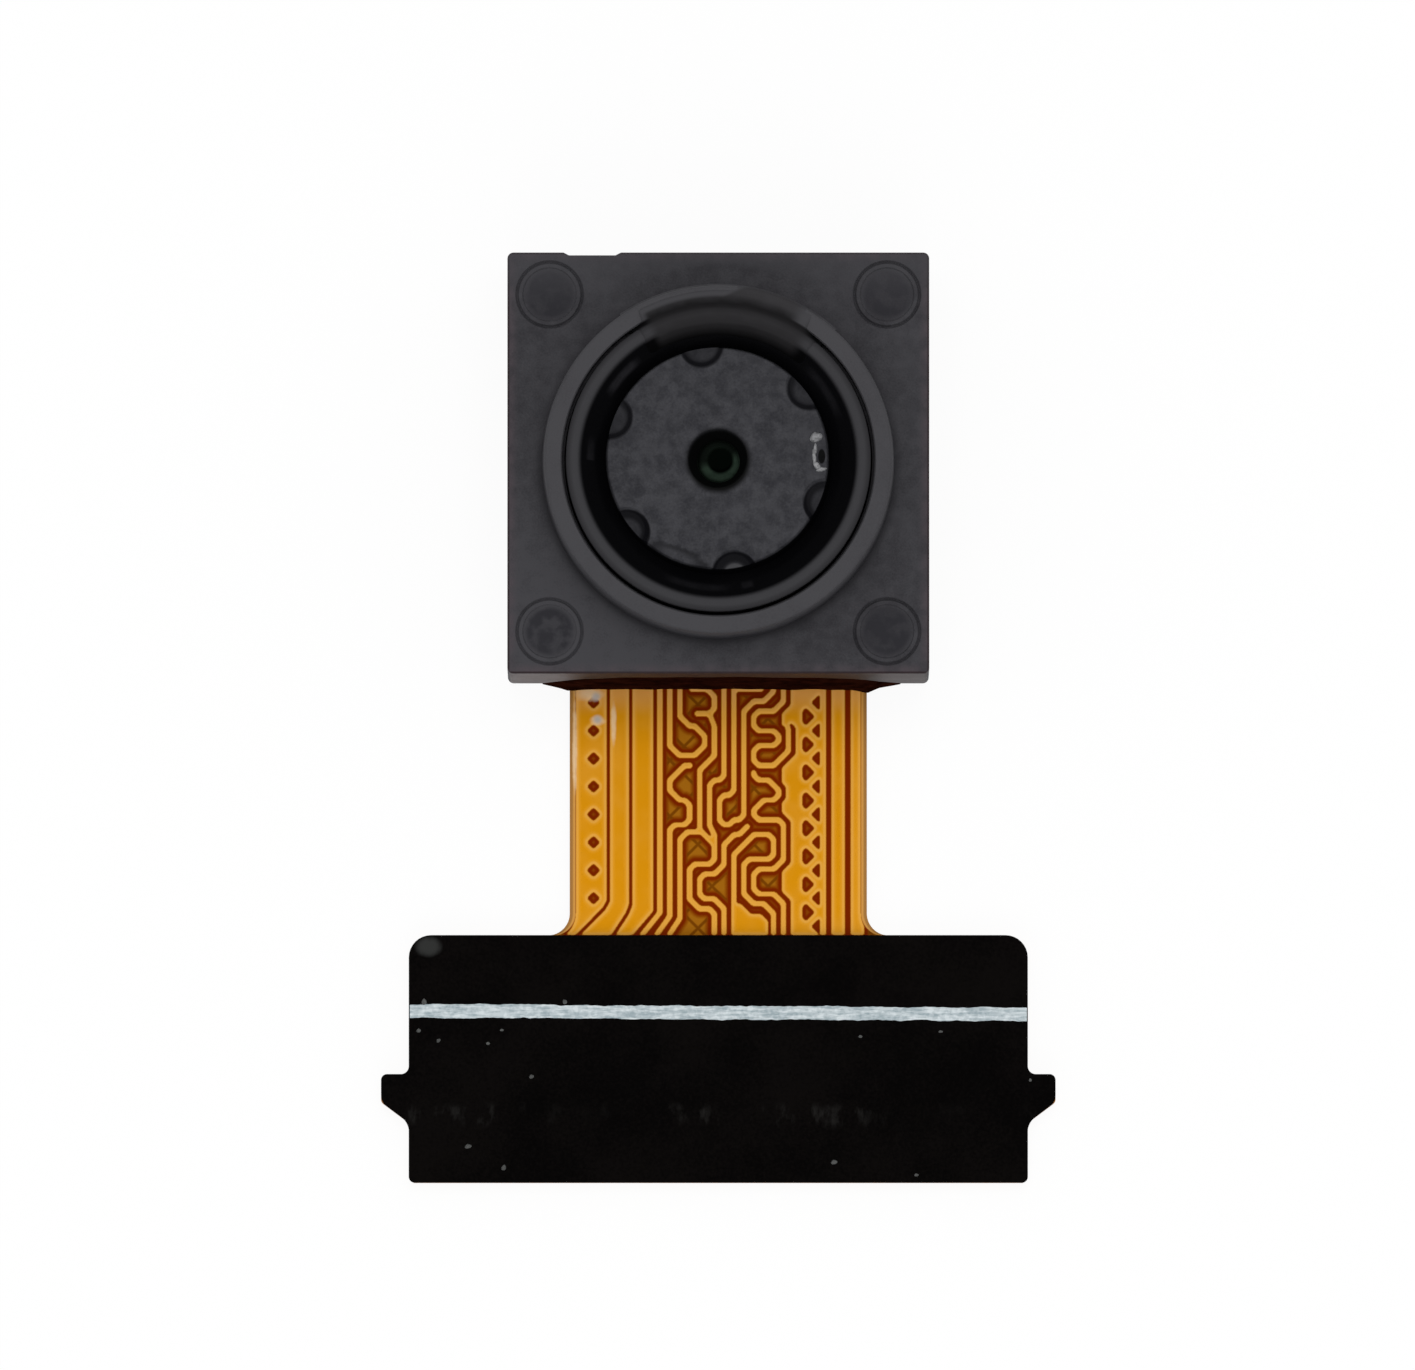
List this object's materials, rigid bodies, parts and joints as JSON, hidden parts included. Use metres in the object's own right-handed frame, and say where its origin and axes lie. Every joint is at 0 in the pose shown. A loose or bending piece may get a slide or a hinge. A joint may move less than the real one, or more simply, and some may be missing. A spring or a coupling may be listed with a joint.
{
  "type": "camera module",
  "caption": "Compact fixed-focus camera module: square lens holder with round collar on a flexible circuit with a keyed connector tail.",
  "frame": {"origin": "where the optical axis meets the back mounting face", "axes": "+Z along the optical axis, out of the lens; -Y towards the connector tail; +X to the right seen from the front with the tail below"},
  "size_m": [0.0136, 0.0186, 0.005],
  "materials": {
    "steel": "satin",
    "film": "amber polyimide, satin",
    "copper": "satin",
    "gold": "polished",
    "adhesive": "clear cured adhesive",
    "tail_plate": "black, satin",
    "line_ink": "printed ink",
    "solder": "satin",
    "silicon": "polished",
    "epoxy": "black cured epoxy",
    "clear_glass": "polished",
    "capacitor_ceramic": "ceramic",
    "holder_plastic": "fine matt",
    "barrel_plastic": "fine matt",
    "coated_glass": "green antireflection coating",
    "spacer_plastic": "matt black",
    "filter_glass": "coated"
  },
  "bodies": {
    "root": {"back_stiffener": "steel", "back_coverlay": "film", "back_ground_plane": "copper", "contact_fingers": "gold", "flex_base_film": "film", "front_traces": "copper", "front_coverlay": "film", "stiffener_adhesive": "adhesive", "tail_stiffener": "tail_plate", "alignment_line": "line_ink", "solder_pads": "gold", "solder_joints": "solder", "sensor_die": "silicon", "sensor_dam": "epoxy", "sensor_cover_glass": "clear_glass", "capacitor_bodies": "capacitor_ceramic", "capacitor_terminals": "solder", "holder_adhesive": "epoxy", "lens_holder": "holder_plastic", "lens_barrel": "barrel_plastic", "front_lens": "coated_glass", "lens_spacer": "spacer_plastic", "rear_lens": "clear_glass", "lens_retainer": "spacer_plastic", "infrared_filter": "filter_glass", "filter_adhesive": "adhesive", "barrel_glue": "epoxy", "neck_epoxy": "epoxy"}
  },
  "joints": []
}
